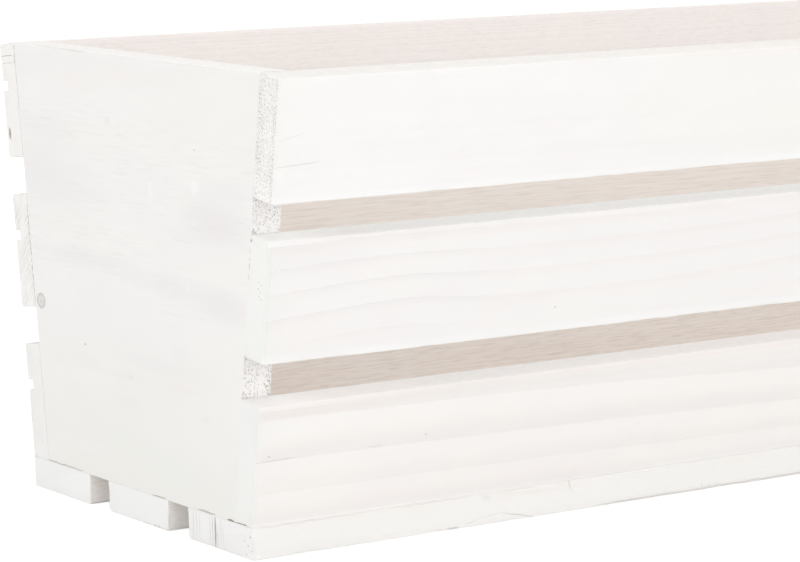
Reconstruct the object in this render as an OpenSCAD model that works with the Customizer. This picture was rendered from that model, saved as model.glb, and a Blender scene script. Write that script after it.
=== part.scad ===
// Wooden balcony planter: two trapezoid end boards, three slats along each leaning side
// and three slats underneath, all nailed together, open at the top.
// +X runs along the planter, -Y is its front and +Z is up.
// The origin is in the middle of the footprint, on the ground.

/* [Overall] */
// Length over the end boards
length = 800; // [400:10:1200]
// Lean of the front and back walls from upright, in degrees
splay = 7.5; // [0:0.5:15]

/* [End boards] */
// Thickness of an end board
end_t = 16; // [12:1:24]

/* [Side slats] */
// Thickness of a side slat
slat_t = 16; // [12:1:22]
// Width of a side slat, along the leaning wall
slat_w = 60; // [45:1:70]
// Gap between the low and the middle front slat
front_gap_low = 20.5; // [5:0.5:35]
// Gap between the middle and the high front slat
front_gap_high = 17.5; // [5:0.5:35]
// Radius of the eased edges of every slat
arris_r = 1.2; // [0.5:0.1:2]

/* [Groove of the back slats] */
// Width of the groove along a back slat's outer face
groove_w = 5; // [3:0.5:6]
// Depth of the groove
groove_d = 5; // [3:0.5:8]
// Distance from the slat's top edge to the middle of the groove
groove_drop = 22; // [21:0.5:26]

/* [Bottom slats] */
// Thickness of a bottom slat
floor_t = 16; // [12:1:24]
// Width of a bottom slat
floor_w = 60; // [45:1:80]
// Gap between neighbouring bottom slats, where water drains
floor_gap = 19; // [8:1:30]

/* [Nails] */
// Shank diameter of a headless nail
nail_d = 1.8; // [1.2:0.1:2.4]
// Length of a nail
nail_l = 35; // [30:1:45]
// Length of a nail's point
nail_point = 3; // [2:0.5:5]
// Blunt end of a nail's point
nail_tip_d = 0.4; // [0.2:0.1:0.8]
// Distance between the side nails and the bottom nails across an end board, so that they pass each other
nail_stagger = 3; // [2.5:0.5:6]

/* [Hidden] */
$fn = 24;

white_front = [0.97, 0.96, 0.94];
white_back = [0.93, 0.90, 0.87];
white_end = [0.95, 0.94, 0.92];
white_floor = [0.91, 0.89, 0.86];
nail_grey = [0.72, 0.70, 0.68];

left = -1;
right = 1;
// Rows of side slats from the lowest to the highest
rows = [0, 1, 2];
// Places of the bottom slats: front, middle and back
places = [-1, 0, 1];

bottom_w = len(places) * floor_w + (len(places) - 1) * floor_gap;
wall_h = len(rows) * slat_w + front_gap_low + front_gap_high;
// The back wall ends level with the front one, so it shares out the same total gap evenly
back_gap = (front_gap_low + front_gap_high) / 2;
// Half the depth of an end board where it stands on the bottom slats, and its top
end_foot = bottom_w / 2 - slat_t / cos(splay);
end_h = wall_h * cos(splay) + slat_t * sin(splay);
end_top = end_foot + end_h * tan(splay);
// The side nails run nearer to the end of the planter than the bottom nails
side_nail_inset = (end_t - nail_stagger) / 2;
floor_nail_inset = (end_t + nail_stagger) / 2;
cut_extra = 1;

// Height of a slat's lower edge up the leaning wall
function front_rise(row) = row * slat_w + (row > 0 ? front_gap_low : 0) + (row > 1 ? front_gap_high : 0);
function back_rise(row) = row * (slat_w + back_gap);

// Nails sit at the quarter points of the width that bears on an end board
function quarter_points(from, to) = [from + (to - from) / 4, to - (to - from) / 4];
side_nails = quarter_points(0, slat_w);

function floor_y(place) = place * (floor_w + floor_gap);
function floor_nails(place) = quarter_points(
    max(floor_y(place) - floor_w / 2, -end_foot),
    min(floor_y(place) + floor_w / 2, end_foot));

// A plank along X, from y = 0 to depth and z = 0 to height, with its long edges eased.
// Its foot may be bevelled, crisp and lower inside, by the angle at which the plank leans.
module plank(depth, height, bevel = 0) {
    foot_h = 2 * arris_r;
    rotate([90, 0, 90])
        linear_extrude(height = length, center = true) {
            translate([arris_r, 0])
                square([depth - 2 * arris_r, height]);
            translate([0, arris_r])
                square([depth, height - 2 * arris_r]);
            for (y = [arris_r, depth - arris_r], z = [arris_r, height - arris_r])
                translate([y, z])
                    circle(r = arris_r);
            if (bevel > 0)
                polygon([[0, foot_h], [0, 0], [depth, -depth * tan(bevel)], [depth, foot_h]]);
        }
}

// Only the lowest side slats are bevelled, and so stand flat on the bottom slats
function foot_bevel(row) = row == 0 ? splay : 0;

// Leaning frame of the front wall: Y goes into the wood and Z goes up the wall
module on_front_wall() {
    translate([0, -bottom_w / 2, floor_t])
        rotate([splay, 0, 0])
            children();
}

module on_back_wall() {
    mirror([0, 1, 0])
        on_front_wall()
            children();
}

// One nail along +Z, with its head at the origin
module nail() {
    cylinder(d = nail_d, h = nail_l - nail_point);
    translate([0, 0, nail_l - nail_point])
        cylinder(d1 = nail_d, d2 = nail_tip_d, h = nail_point);
}

// The nails of one side slat at one end of the planter, in the wall's frame
module side_nails_at(end, rise) {
    for (up = side_nails)
        translate([end * (length / 2 - side_nail_inset), 0, rise + up])
            rotate([-90, 0, 0])
                nail();
}

// The nails of one bottom slat at one end of the planter
module floor_nails_at(end, place) {
    for (y = floor_nails(place))
        translate([end * (length / 2 - floor_nail_inset), y, 0])
            nail();
}

module front_nails(row) {
    color(nail_grey)
        for (end = [left, right])
            on_front_wall()
                side_nails_at(end, front_rise(row));
}

module back_nails(row) {
    color(nail_grey)
        for (end = [left, right])
            on_back_wall()
                side_nails_at(end, back_rise(row));
}

module bottom_nails(place) {
    color(nail_grey)
        for (end = [left, right])
            floor_nails_at(end, place);
}

// Trapezoid that the side slats are nailed to, standing on the bottom slats
module end_board(end) {
    color(white_end)
        difference() {
            translate([end * (length - end_t) / 2, 0, floor_t])
                rotate([90, 0, 90])
                    linear_extrude(height = end_t, center = true)
                        polygon([
                            [-end_foot, 0], [end_foot, 0],
                            [end_top, end_h], [-end_top, end_h]
                        ]);
            for (row = rows) {
                on_front_wall()
                    side_nails_at(end, front_rise(row));
                on_back_wall()
                    side_nails_at(end, back_rise(row));
            }
            for (place = places)
                floor_nails_at(end, place);
        }
}

module front_slat(row) {
    color(white_front)
        on_front_wall()
            difference() {
                translate([0, 0, front_rise(row)])
                    plank(slat_t, slat_w, foot_bevel(row));
                for (end = [left, right])
                    side_nails_at(end, front_rise(row));
            }
}

// A back slat is grooved all along its outer face
module back_slat(row) {
    color(white_back)
        on_back_wall()
            difference() {
                translate([0, 0, back_rise(row)])
                    plank(slat_t, slat_w, foot_bevel(row));
                translate([
                    -length / 2 - cut_extra,
                    -cut_extra,
                    back_rise(row) + slat_w - groove_drop - groove_w / 2
                ])
                    cube([length + 2 * cut_extra, groove_d + cut_extra, groove_w]);
                for (end = [left, right])
                    side_nails_at(end, back_rise(row));
            }
}

module bottom_slat(place) {
    color(white_floor)
        difference() {
            translate([0, floor_y(place) - floor_w / 2, 0])
                plank(floor_w, floor_t);
            for (end = [left, right])
                floor_nails_at(end, place);
        }
}

end_board(left);  // end_board_left
end_board(right);  // end_board_right
front_slat(0);  // front_slat_low
front_slat(1);  // front_slat_middle
front_slat(2);  // front_slat_high
back_slat(0);  // back_slat_low
back_slat(1);  // back_slat_middle
back_slat(2);  // back_slat_high
bottom_slat(-1);  // bottom_slat_front
bottom_slat(0);  // bottom_slat_middle
bottom_slat(1);  // bottom_slat_back
front_nails(0);  // front_nails_low
front_nails(1);  // front_nails_middle
front_nails(2);  // front_nails_high
back_nails(0);  // back_nails_low
back_nails(1);  // back_nails_middle
back_nails(2);  // back_nails_high
bottom_nails(-1);  // bottom_nails_front
bottom_nails(0);  // bottom_nails_middle
bottom_nails(1);  // bottom_nails_back
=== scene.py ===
# Whitewashed wooden balcony planter: every packed board is dressed as planed, nailed and washed softwood.
import bpy
import math
from mathutils import Euler, Matrix, Vector


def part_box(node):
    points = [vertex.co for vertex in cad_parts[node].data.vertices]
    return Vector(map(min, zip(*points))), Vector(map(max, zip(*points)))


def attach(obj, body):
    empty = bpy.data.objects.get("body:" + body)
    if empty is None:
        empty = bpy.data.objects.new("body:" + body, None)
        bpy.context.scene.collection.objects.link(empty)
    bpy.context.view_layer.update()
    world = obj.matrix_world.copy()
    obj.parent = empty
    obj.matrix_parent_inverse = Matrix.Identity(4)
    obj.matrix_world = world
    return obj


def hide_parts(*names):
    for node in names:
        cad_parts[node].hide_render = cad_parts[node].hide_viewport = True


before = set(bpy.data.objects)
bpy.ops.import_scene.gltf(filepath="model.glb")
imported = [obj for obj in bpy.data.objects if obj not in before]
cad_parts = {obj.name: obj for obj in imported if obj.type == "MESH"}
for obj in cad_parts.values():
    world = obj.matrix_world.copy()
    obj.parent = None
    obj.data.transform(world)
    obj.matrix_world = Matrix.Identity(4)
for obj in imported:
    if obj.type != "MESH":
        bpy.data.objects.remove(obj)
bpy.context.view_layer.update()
mm = 0.001
print("frame loaded with", len(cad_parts), "nodes")


# Node tree helpers

def addNode(tree, kind, settings=None, inputs=None):
    node = tree.nodes.new(kind)
    for name, value in (settings or {}).items():
        setattr(node, name, value)
    for name, value in (inputs or {}).items():
        feed(tree, node.inputs[name], value)
    return node


def feed(tree, socket, value):
    if isinstance(value, bpy.types.NodeSocket):
        tree.links.new(value, socket)
    else:
        socket.default_value = value


def addInput(tree, name, kind, value=None):
    socket = tree.interface.new_socket(name=name, in_out="INPUT", socket_type=kind)
    if value is not None:
        socket.default_value = value


def geometry(tree, kind, inputs=None, settings=None):
    # The first output of a geometry node
    return addNode(tree, "GeometryNode" + kind, settings, inputs).outputs[0]


def calc(tree, operation, *terms):
    return addNode(tree, "ShaderNodeMath", {"operation": operation}, dict(enumerate(terms))).outputs[0]


def chain(tree, operation, terms):
    result = terms[0]
    for term in terms[1:]:
        result = calc(tree, operation, result, term)
    return result


def plus(tree, *terms):
    return chain(tree, "ADD", terms)


def minus(tree, first, second):
    return calc(tree, "SUBTRACT", first, second)


def times(tree, *terms):
    return chain(tree, "MULTIPLY", terms)


def over(tree, first, second):
    return calc(tree, "DIVIDE", first, second)


def largest(tree, *terms):
    return chain(tree, "MAXIMUM", terms)


def clamped(result):
    # Keeps what a sum has made between nought and one
    result.node.use_clamp = True
    return result


def centred(tree, value, amount):
    # Turns a 0 to 1 pattern into one that swings about nought
    return times(tree, minus(tree, value, 0.5), 2 * amount)


def smoothStep(tree, value, low, high, start=0.0, end=1.0):
    node = addNode(tree, "ShaderNodeMapRange", {"interpolation_type": "SMOOTHSTEP"},
                   {"Value": value, "From Min": low, "From Max": high, "To Min": start, "To Max": end})
    return node.outputs["Result"]


def shapeCurve(tree, share, points, handles="VECTOR"):
    node = addNode(tree, "ShaderNodeFloatCurve", inputs={"Value": share})
    line = node.mapping.curves[0].points
    for spot in points[1:-1]:
        line.new(*spot)
    line[0].location, line[-1].location = points[0], points[-1]
    for spot in line:
        spot.handle_type = handles
    node.mapping.update()
    return node.outputs[0]


def vectorCalc(tree, operation, *terms):
    node = addNode(tree, "ShaderNodeVectorMath", {"operation": operation})
    for index, term in enumerate(terms):
        byScale = operation == "SCALE" and index == 1
        feed(tree, node.inputs["Scale" if byScale else index], term)
    return node.outputs["Value" if operation == "LENGTH" else "Vector"]


def splitVector(tree, vector):
    return addNode(tree, "ShaderNodeSeparateXYZ", inputs={0: vector}).outputs


def joinVector(tree, x, y, z):
    return addNode(tree, "ShaderNodeCombineXYZ", inputs={0: x, 1: y, 2: z}).outputs[0]


def seededPlace(tree, place, seed, run):
    # Moves to a part of the patterns that belongs to this seed alone
    return vectorCalc(tree, "ADD", place, vectorCalc(tree, "SCALE", run, seed))


def noise(tree, place, stretch, detail=2.0, rough=0.5):
    # Grain runs along X, so a pattern is stretched by scaling X less than Y and Z
    scaled = vectorCalc(tree, "MULTIPLY", place, stretch)
    return addNode(tree, "ShaderNodeTexNoise", {"noise_dimensions": "3D"},
                   {"Vector": scaled, "Scale": 1.0, "Detail": detail, "Roughness": rough}).outputs["Fac"]


# Where each board lies. Locally X runs along the grain, Y from the outer face inwards and Z across the width.
wallLean = math.radians(7.5)
boardTurns = {
    "front_slat": Euler((wallLean, 0, 0)),
    "back_slat": Euler((wallLean, 0, math.pi)),
    "bottom_slat": Euler((math.pi / 2, 0, 0)),
    "end_board_left": Euler((0, 0, -math.pi / 2)),
    "end_board_right": Euler((0, 0, math.pi / 2)),
}


def measureBoard(name):
    # Size and place of a packed board, taken from its own corners
    turn = next(turn for kind, turn in boardTurns.items() if name.startswith(kind))
    back = turn.to_matrix().inverted()
    corners = [back @ vertex.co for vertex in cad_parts[name].data.vertices]
    low = Vector([min(corner[axis] for corner in corners) for axis in range(3)])
    high = Vector([max(corner[axis] for corner in corners) for axis in range(3)])
    foot = max(corner.x for corner in corners if corner.z < low.z + 1 * mm)
    return {"name": name, "turn": turn, "size": high - low, "footShare": foot / high.x,
            "centre": turn.to_matrix() @ ((low + high) / 2)}


def boardPlace(board):
    return Matrix.Translation(board["centre"]) @ board["turn"].to_matrix().to_4x4()


boards = {name: measureBoard(name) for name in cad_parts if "nails" not in name}
for name, board in boards.items():
    sides = [round(side / mm, 1) for side in board["size"]]
    print("board", name, sides, "foot share", round(board["footShare"], 3))


# Section of a planed board, with its eased edges, a bevelled foot and, on the back slats, the groove
sectionShape = {
    "arrisSteps": 4,
    "grooveWidth": 5 * mm,
    "grooveDepth": 5 * mm,
    "grooveDrop": 22 * mm,
    "grooveEase": 0.5 * mm,
    "grooveSteps": 3,
}


def roundCorner(centre, radius, start, steps, turn=1):
    angles = [start + turn * math.pi / 2 * step / steps for step in range(steps + 1)]
    return [(centre[0] + radius * math.cos(angle), centre[1] + radius * math.sin(angle)) for angle in angles]


def grooveCorners(y, z):
    shape = sectionShape
    middle, half = z - shape["grooveDrop"], shape["grooveWidth"] / 2
    ease, steps = shape["grooveEase"], shape["grooveSteps"]
    floor = shape["grooveDepth"] - y
    return (roundCorner((ease - y, middle + half + ease), ease, math.pi, steps)
            + roundCorner((floor - ease, middle + half - ease), ease, math.pi / 2, steps, -1)
            + roundCorner((floor - ease, middle - half + ease), ease, 0, steps, -1)
            + roundCorner((ease - y, middle - half - ease), ease, math.pi / 2, steps))


def sectionOutline(thickness, width, arrises, spacing, drop, grooved):
    # The radii go round from the lower inner edge over the two upper ones to the lower outer edge
    steps = sectionShape["arrisSteps"]
    y, z = thickness / 2, width / 2
    lowInner, highInner, highOuter, lowOuter = arrises
    corners = roundCorner((y - lowInner, lowInner - z), lowInner, -math.pi / 2, steps)
    corners += roundCorner((y - highInner, z - highInner), highInner, 0, steps)
    corners += roundCorner((highOuter - y, z - highOuter), highOuter, math.pi / 2, steps)
    if grooved:
        corners += grooveCorners(y, z)
    corners += roundCorner((lowOuter - y, drop + lowOuter - z), lowOuter, math.pi, steps)
    outline = []
    for point, following in zip(corners, corners[1:] + corners[:1]):
        parts = max(1, round(math.dist(point, following) / spacing))
        outline += [tuple(start + (end - start) * part / parts for start, end in zip(point, following))
                    for part in range(parts)]
    return outline


def sectionCurve(name, outline):
    # Curve to Mesh lays a section's X and Y along -Y and -Z, so both are turned round here
    curve = bpy.data.curves.new(name, "CURVE")
    curve.dimensions = "3D"
    spline = curve.splines.new("POLY")
    spline.points.add(len(outline) - 1)
    for point, (y, z) in zip(spline.points, outline):
        point.co = (-y, -z, 0, 1)
    spline.use_cyclic_u = True
    made = bpy.data.objects.new(name, curve)
    bpy.context.scene.collection.objects.link(made)
    return made


# Geometry Nodes tree that sweeps a section into a worn plank. A pair is where an effect starts and is full, and
# a pattern is its stretch, detail and roughness.
plankShape = {
    "easeSteps": 4,
    "evenStations": 0.45,  # the other stations crowd towards the sawn ends
    "squareToGrain": 0.9,
    "crispAngle": math.radians(40),
    "seedRun": (1.0, 0.37, 0.0),
    "seatGap": (1 * mm, 6 * mm),
    "footGap": (1 * mm, 5 * mm),
    "arrisReach": (0.4 * mm, 3.0 * mm),
    "endReach": 1.6 * mm,
    "slow": ((5, 32, 32), 1.0),
    "knocks": ((45, 160, 160), 3.0, 0.6),
    "knockLevels": (0.42, 0.72),
    "fray": ((260, 420, 420), 2.0, 0.6),
    "planedOff": 0.02 * mm,
    "waneRun": 30 * mm,
    "waneTall": 8 * mm,
    "waneRagged": ((30, 0, 0), 3.0, 0.6),
    "waneShares": (0.45, 1.1),
}


def buildPlankTree():
    shape = plankShape
    tree = bpy.data.node_groups.new("wornPlank", "GeometryNodeTree")
    tree.interface.new_socket(name="Geometry", in_out="OUTPUT", socket_type="NodeSocketGeometry")
    addInput(tree, "Section", "NodeSocketObject")
    for name, value in (("Length", 0.8), ("Thickness", 0.016), ("Width", 0.06), ("Foot Share", 1.0),
                        ("Ease", 0.0004), ("Wave", 0.0001), ("Wear", 0.0004), ("End Wear", 0.0004),
                        ("Wane", 0.0), ("Wane Height", 0.003), ("Wane Start", 0.0), ("Seated", 0.0),
                        ("Seed", 0.0)):
        addInput(tree, name, "NodeSocketFloat", value)
    addInput(tree, "Stations", "NodeSocketInt", 240)
    addInput(tree, "Face Finish", "NodeSocketMaterial")
    addInput(tree, "End Finish", "NodeSocketMaterial")
    given = addNode(tree, "NodeGroupInput").outputs
    halfLength, halfThick, halfWidth = (
        times(tree, given[name], 0.5) for name in ("Length", "Thickness", "Width"))
    ease = given["Ease"]

    # The path along the grain has its stations closer together towards the sawn ends, and closest where these
    # are eased
    steps, even = shape["easeSteps"], shape["evenStations"]
    path = geometry(tree, "CurvePrimitiveLine", {"End": (1.0, 0.0, 0.0)})
    path = geometry(tree, "ResampleCurve", {"Curve": path, "Count": given["Stations"]})
    last = minus(tree, given["Stations"], 1.0)
    middle = times(tree, last, 0.5)
    index = geometry(tree, "InputIndex")
    fromEnd = calc(tree, "MINIMUM", index, minus(tree, last, index))
    share = clamped(over(tree, minus(tree, fromEnd, steps), minus(tree, middle, steps)))
    bunched = minus(tree, 1.0, calc(tree, "COSINE", times(tree, share, math.pi / 2)))
    mixed = plus(tree, times(tree, share, even), times(tree, bunched, 1 - even))
    turned = times(tree, calc(tree, "MINIMUM", fromEnd, steps), math.pi / 2 / steps)
    gap = times(tree, ease, minus(tree, 1.0, calc(tree, "COSINE", turned)))
    gap = plus(tree, gap, times(tree, minus(tree, halfLength, ease), mixed))
    side = calc(tree, "SIGN", minus(tree, index, middle))
    placed = joinVector(tree, times(tree, side, minus(tree, halfLength, gap)), 0.0, 0.0)
    path = geometry(tree, "SetPosition", {"Geometry": path, "Position": placed})
    section = addNode(tree, "GeometryNodeObjectInfo", inputs={"Object": given["Section"]}).outputs["Geometry"]
    plank = geometry(tree, "CurveToMesh", {"Curve": path, "Profile Curve": section, "Fill Caps": True})

    # Sawn faces are told apart while they still stand square to the grain
    facing = calc(tree, "ABSOLUTE", splitVector(tree, geometry(tree, "InputNormal"))["X"])
    marked = addNode(tree, "GeometryNodeCaptureAttribute", {"domain": "FACE"}, {"Geometry": plank})
    marked.capture_items.new("FLOAT", "Sawn")
    feed(tree, marked.inputs["Sawn"], calc(tree, "GREATER_THAN", facing, shape["squareToGrain"]))
    plank, sawn = marked.outputs["Geometry"], marked.outputs["Sawn"]

    # The sawn ends are eased, except on the side that bears on another board
    spot = geometry(tree, "InputPosition")
    x, y, z = (splitVector(tree, spot)[axis] for axis in "XYZ")
    endGap = minus(tree, halfLength, calc(tree, "ABSOLUTE", x))
    left = largest(tree, minus(tree, ease, endGap), 0.0)
    level = calc(tree, "SQRT", minus(tree, times(tree, ease, ease), times(tree, left, left)))
    inset = minus(tree, ease, level)
    outerInset = times(tree, inset, calc(tree, "LESS_THAN", y, 0.0))
    eased = joinVector(tree, x, times(tree, y, minus(tree, 1.0, over(tree, outerInset, halfThick))),
                       times(tree, z, minus(tree, 1.0, over(tree, inset, halfWidth))))
    plank = geometry(tree, "SetPosition", {"Geometry": plank, "Position": eased})

    # Wear only takes wood away: a slow wave, knocked arrises and frayed ends. The side that bears on another
    # board stays tight, and so does a foot that stands on one.
    seeded = seededPlace(tree, spot, given["Seed"], shape["seedRun"])
    sideGap = minus(tree, halfThick, calc(tree, "ABSOLUTE", y))
    arrisGap = plus(tree, sideGap, minus(tree, halfWidth, calc(tree, "ABSOLUTE", z)))
    loose = smoothStep(tree, minus(tree, halfThick, y), *shape["seatGap"])
    foot = times(tree, given["Seated"], smoothStep(tree, plus(tree, halfWidth, z), *shape["footGap"], 1.0, 0.0))
    loose = times(tree, loose, minus(tree, 1.0, foot))
    nearArris = smoothStep(tree, arrisGap, *shape["arrisReach"], 1.0, 0.0)
    nearEnd = smoothStep(tree, endGap, 0.0, shape["endReach"], 1.0, 0.0)
    knocks = smoothStep(tree, noise(tree, seeded, *shape["knocks"]), *shape["knockLevels"])
    taken = times(tree, given["Wave"], noise(tree, seeded, *shape["slow"]))
    taken = plus(tree, taken, times(tree, given["Wear"], nearArris, knocks))
    frayed = times(tree, nearEnd, noise(tree, seeded, *shape["fray"]))
    taken = plus(tree, taken, times(tree, given["End Wear"], frayed))
    taken = plus(tree, times(tree, taken, loose), shape["planedOff"])
    inward = vectorCalc(tree, "SCALE", geometry(tree, "InputNormal"), times(tree, taken, -1.0))
    plank = geometry(tree, "SetPosition", {"Geometry": plank, "Offset": inward})

    # Wane: beyond the start, the outer upper edge falls away into the round of the log
    least, more = shape["waneShares"]
    start = given["Wane Start"]
    growth = smoothStep(tree, x, start, plus(tree, start, shape["waneRun"]))
    ragged = plus(tree, least, times(tree, noise(tree, seeded, *shape["waneRagged"]), more))
    depth = over(tree, plus(tree, y, halfThick), given["Wane Height"])
    beside = smoothStep(tree, minus(tree, halfWidth, z), 0.0, shape["waneTall"], 1.0, 0.0)
    push = times(tree, clamped(minus(tree, 1.0, depth)), beside)
    push = times(tree, push, times(tree, growth, ragged, given["Wane"]))
    dropped = joinVector(tree, 0.0, 0.0, times(tree, push, -1.0))
    plank = geometry(tree, "SetPosition", {"Geometry": plank, "Offset": dropped})

    # An end board narrows towards its foot
    footShare = given["Foot Share"]
    rise = plus(tree, over(tree, z, given["Width"]), 0.5)
    narrowed = plus(tree, footShare, times(tree, rise, minus(tree, 1.0, footShare)))
    plank = geometry(tree, "SetPosition", {
        "Geometry": plank, "Position": joinVector(tree, times(tree, x, narrowed), y, z)})

    # Soft shading on the eased edges, crisp shading where a saw or plane has cut
    soft = calc(tree, "LESS_THAN", geometry(tree, "InputMeshEdgeAngle"), shape["crispAngle"])
    for domain, smooth in (("FACE", True), ("EDGE", soft)):
        plank = geometry(tree, "SetShadeSmooth", {
            "Geometry": plank, "Shade Smooth": smooth}, {"domain": domain})
    plank = geometry(tree, "RealizeInstances", {"Geometry": plank})
    plank = geometry(tree, "SetMaterial", {"Geometry": plank, "Material": given["Face Finish"]})
    plank = geometry(tree, "SetMaterial", {
        "Geometry": plank, "Selection": sawn, "Material": given["End Finish"]})
    addNode(tree, "NodeGroupOutput", inputs={"Geometry": plank})
    return tree


def socketKey(tree, name):
    return next(item.identifier for item in tree.interface.items_tree
                if item.item_type == "SOCKET" and item.in_out == "INPUT" and item.name == name)


def growPiece(name, tree, values):
    # Runs a tree on an empty mesh and keeps only the plain mesh that it makes
    seedObject = bpy.data.objects.new(name + "_seed", bpy.data.meshes.new(name + "_seed"))
    bpy.context.scene.collection.objects.link(seedObject)
    modifier = seedObject.modifiers.new("grow", "NODES")
    modifier.node_group = tree
    for key, value in values.items():
        modifier[socketKey(tree, key)] = value
    depsgraph = bpy.context.evaluated_depsgraph_get()
    mesh = bpy.data.meshes.new_from_object(seedObject.evaluated_get(depsgraph), depsgraph=depsgraph)
    seedObject.modifiers.clear()
    bpy.data.objects.remove(seedObject)
    mesh.name = name
    made = bpy.data.objects.new(name, mesh)
    bpy.context.scene.collection.objects.link(made)
    return made


# Shader group: growth rings and fibres of pine, cut anywhere through one log that lies along X
pineShape = {
    "seedRun": (1.0, 0.61, 1.37),
    "drift": (2.4, 7, 7),
    "ripple": (17, 26, 26),
    "ragged": (210, 90, 90),
    "swing": 4.0,
    "yearRun": 0.31,
    "darkLine": (0.88, 0.96),  # shares of a year's growth between which its dark line comes up
    "leastLate": 0.65,  # latewood of the poorest year
    "fibre": ((26, 1300, 1300), 3.0, 0.6),
    "streak": ((7, 330, 330), 3.0, 0.6),
}


def buildPineGroup():
    shape = pineShape
    tree = bpy.data.node_groups.new("pineFigure", "ShaderNodeTree")
    addInput(tree, "Local", "NodeSocketVector")
    addInput(tree, "Pith", "NodeSocketVector")
    for name, value in (("Ring Width", 3 * mm), ("Phase", 0.0), ("Uneven", 2.0), ("Drift", 6 * mm),
                        ("Ripple", 0.6 * mm), ("Ragged", 0.1 * mm), ("Rise From", 0.3), ("Rise To", 0.92),
                        ("Bulge", 0.0), ("Seed", 0.0)):
        addInput(tree, name, "NodeSocketFloat", value)
    for name in ("Late", "Line", "Fibre", "Streak"):
        tree.interface.new_socket(name=name, in_out="OUTPUT", socket_type="NodeSocketFloat")
    given = addNode(tree, "NodeGroupInput").outputs
    seed = given["Seed"]
    spot = seededPlace(tree, given["Local"], seed, shape["seedRun"])

    # The log is never quite straight, so its rings drift slowly and ripple along the grain
    shift = 0.0
    for name in ("Drift", "Ripple", "Ragged"):
        wander = minus(tree, noise(tree, spot, shape[name.lower()]), 0.5)
        shift = plus(tree, shift, times(tree, wander, shape["swing"], given[name]))
    fromPith = vectorCalc(tree, "SUBTRACT", given["Local"], given["Pith"])
    radius = vectorCalc(tree, "LENGTH", vectorCalc(tree, "MULTIPLY", fromPith, (0, 1, 1)))
    count = plus(tree, over(tree, plus(tree, radius, shift), given["Ring Width"]), given["Phase"])
    spread = addNode(tree, "ShaderNodeTexNoise", {"noise_dimensions": "1D"}, {
        "W": plus(tree, times(tree, count, shape["yearRun"]), seed),
        "Scale": 1.0, "Detail": 2.0}).outputs["Fac"]
    count = plus(tree, count, plus(tree, times(tree, spread, given["Uneven"]), given["Bulge"]))
    share = calc(tree, "FRACT", count)
    year = calc(tree, "FLOOR", count)
    vigour = addNode(tree, "ShaderNodeTexWhiteNoise", {"noise_dimensions": "1D"}, {
        "W": plus(tree, year, seed)}).outputs["Value"]
    least, dark = shape["leastLate"], shape["darkLine"]
    rising = smoothStep(tree, share, given["Rise From"], given["Rise To"])
    falling = smoothStep(tree, share, dark[1], 1.0, 1.0, 0.0)
    addNode(tree, "NodeGroupOutput", inputs={
        "Late": times(tree, rising, falling, plus(tree, least, times(tree, vigour, 1 - least))),
        "Line": times(tree, smoothStep(tree, share, *dark), falling),
        "Fibre": noise(tree, spot, *shape["fibre"]), "Streak": noise(tree, spot, *shape["streak"])})
    return tree


# Colours, and marks that are drawn in a board's own frame

def tint(tree, share, first, second):
    node = addNode(tree, "ShaderNodeMix", {"data_type": "RGBA", "clamp_factor": True})
    for socket, value in ((node.inputs[0], share), (node.inputs[6], first), (node.inputs[7], second)):
        feed(tree, socket, (*value, 1.0) if isinstance(value, tuple) else value)
    return node.outputs[2]


# A thin line's width towards its ends, and the shares of its half length where it grows thinner and where it
# fades
thinLineShape = {"thin": 0.4, "thinFrom": 0.3, "fadeFrom": 0.85}


def thinLineMask(tree, along, across, wobble, crack):
    # A thin wandering line from one end point to the other, in millimetres, with its width and strength: splits
    # and painted shadow lines are drawn with it
    x0, z0, x1, z1, wide = (value * mm for value in crack[:5])
    slope = (z1 - z0) / (x1 - x0)
    line = plus(tree, z0 - x0 * slope, times(tree, along, slope))
    off = calc(tree, "ABSOLUTE", minus(tree, across, plus(tree, line, wobble)))
    reach = calc(tree, "ABSOLUTE", minus(tree, along, (x0 + x1) / 2))
    half, thin = abs(x1 - x0) / 2, thinLineShape["thin"] * wide
    width = smoothStep(tree, reach, half * thinLineShape["thinFrom"], half, wide, thin)
    inside = smoothStep(tree, minus(tree, off, width), -thin, thin, 1.0, 0.0)
    fade = smoothStep(tree, reach, half * thinLineShape["fadeFrom"], half, 1.0, 0.0)
    return times(tree, inside, fade, crack[5])


def spotMask(tree, along, across, mark, soft=0.45):
    # A round or long spot: its place and radius in millimetres, and how far it is drawn out along the grain
    x, z, radius, stretch = mark[0] * mm, mark[1] * mm, mark[2] * mm, mark[3]
    away = joinVector(tree, over(tree, minus(tree, along, x), stretch), minus(tree, across, z), 0.0)
    away = vectorCalc(tree, "LENGTH", away)
    return smoothStep(tree, away, radius * (1 - soft), radius * (1 + soft), 1.0, 0.0)


# What every board shares unless it says otherwise, and then what every board of a kind shares. Tones are
# multiplied with the wash, each on its own face, and some also carry painted light and shade of that face.
boardUsual = {
    "outerTone": (1.0, 1.0, 1.0), "innerTone": (1.0, 1.0, 1.0), "edgeTone": (1.0, 1.0, 1.0),
    "endTone": (1.0, 1.0, 1.0), "base": "early", "bands": ("late", "late"), "phase": 0.0, "uneven": 2.0,
    "drift": 6, "ripple": 0.6, "ragged": 0.08, "rise": (0.3, 0.92), "course": [], "courseTilt": 0.0,
    "innerWash": 0.81, "innerLate": 0.8, "cool": 0.5, "rosy": 0.3, "gritty": 0.1, "gritRun": 220,
    "lateThin": 0.025, "lineThin": 0.01, "lineFade": (-900, -901), "dash": 0.02, "fade": (-900, -899, 900),
    "rim": (1.0, 0.0), "wrapAndShade": 0.5, "lines": [], "dots": [], "knots": [], "stainsAndPaintedLight": [], "frontLines": [],
    "frontTicks": [], "frontStains": [], "endLines": [], "endSpots": [], "endSeamShadows": [], "endTint": 0.0,
    "open": 0.1, "ringShow": 0.2, "ease": 0.3, "wave": 0.1, "wear": 0.4, "endWear": 0.4, "wane": 0.0,
    "waneHeight": 3.0, "waneStart": 400, "arrises": (0.5, 1.0, 0.8, 0.6), "spacing": 2.0,
}
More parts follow.
